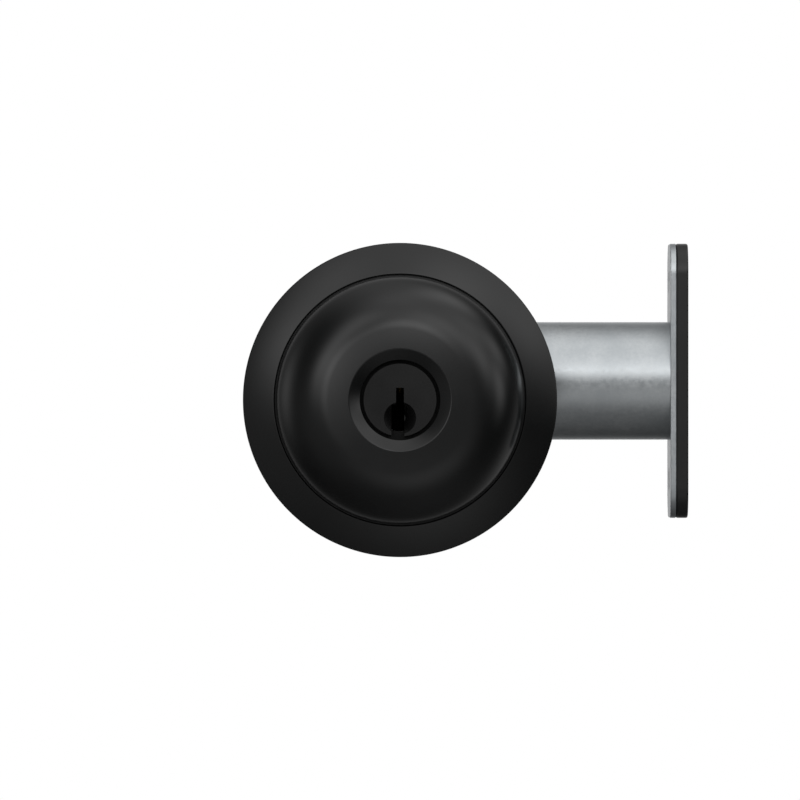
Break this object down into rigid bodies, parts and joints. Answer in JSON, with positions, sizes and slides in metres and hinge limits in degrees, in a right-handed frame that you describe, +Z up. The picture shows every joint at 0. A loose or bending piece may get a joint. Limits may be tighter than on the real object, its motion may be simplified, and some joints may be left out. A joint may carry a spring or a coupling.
{
  "type": "deadbolt door lock",
  "caption": "Round deadbolt lock: domed key cylinder with a free-spinning guard in a sloping trim ring, tubular bolt with faceplate, and thumb turn inside.",
  "frame": {"origin": "on the key's axis, at the door's outer face: the centre of the trim ring's back face", "axes": "+X towards the door's edge, the way the bolt is thrown; +Y from the outside through the door; +Z up"},
  "size_m": [0.0925, 0.0997, 0.0651],
  "materials": {
    "black_coat": "matte black powder coat on die-cast zinc",
    "black_plug": "satin black plated brass",
    "black_plate": "matte black coat on steel plate",
    "hard_steel": "hardened, ground",
    "zinc_casting": "raw die-cast zinc, matte",
    "zinc_plate": "bright zinc plating on sheet steel",
    "yellow_zinc": "yellow passivated zinc plating",
    "bolt_steel": "ground nickel-plated steel",
    "bright_steel": "satin steel",
    "spring_steel": "bright drawn wire",
    "screw_steel": "zinc plated",
    "brass": "turned",
    "nickel_pins": "turned nickel silver",
    "nylon_white": "natural nylon",
    "nylon_black": "moulded black nylon"
  },
  "bodies": {
    "root": {"trim_ring": "black_coat", "guard_washer": "nylon_white", "cylinder_housing": "zinc_casting", "chamber_cap": "brass", "drill_pins": "hard_steel", "driver_pins": "nickel_pins", "pin_springs": "spring_steel", "bore_adapter": "nylon_black", "faceplate": "black_plate", "backplate": "zinc_plate", "bolt_tube": "zinc_plate", "case_left": "zinc_plate", "case_right": "zinc_plate", "case_rivets": "bright_steel", "detent_spring": "spring_steel", "inner_plate": "zinc_plate", "inner_rose": "black_coat", "turn_bushing": "nylon_white", "wave_washer": "spring_steel", "mounting_screws": "screw_steel"},
    "guard": {"guard": "black_coat", "guard_insert": "hard_steel"},
    "plug": {"plug": "black_plug", "key_pins": "brass", "plug_clip": "bright_steel", "plug_cap": "zinc_casting"},
    "turn": {"thumbturn": "black_coat", "turn_shaft": "zinc_casting", "turn_clip": "bright_steel", "tailpiece": "bright_steel", "crank": "yellow_zinc"},
    "bolt": {"bolt": "bolt_steel", "bolt_roller": "hard_steel", "bolt_tail": "zinc_plate", "tail_pins": "bright_steel", "drive_pin": "hard_steel"}
  },
  "joints": [
    {"name": "guard_spin", "type": "hinge", "parent": "root", "child": "guard", "pos_m": [0, 0, 0], "axis": [0, 1, 0], "continuous": true},
    {"name": "plug_turn", "type": "hinge", "parent": "root", "child": "plug", "pos_m": [0, 0, 0], "axis": [0, 1, 0], "range_deg": [-90, 90]},
    {"name": "thumb_turn", "type": "hinge", "parent": "root", "child": "turn", "pos_m": [0, 0, 0], "axis": [0, 1, 0], "range_deg": [0, 90]},
    {"name": "bolt_throw", "type": "slide", "parent": "root", "child": "bolt", "axis": [1, 0, 0], "range_m": [0, 0.0254]}
  ],
  "couplings": [
    {"joint": "thumb_turn", "follows": "bolt_throw", "rad_per_m": 61.842}
  ]
}
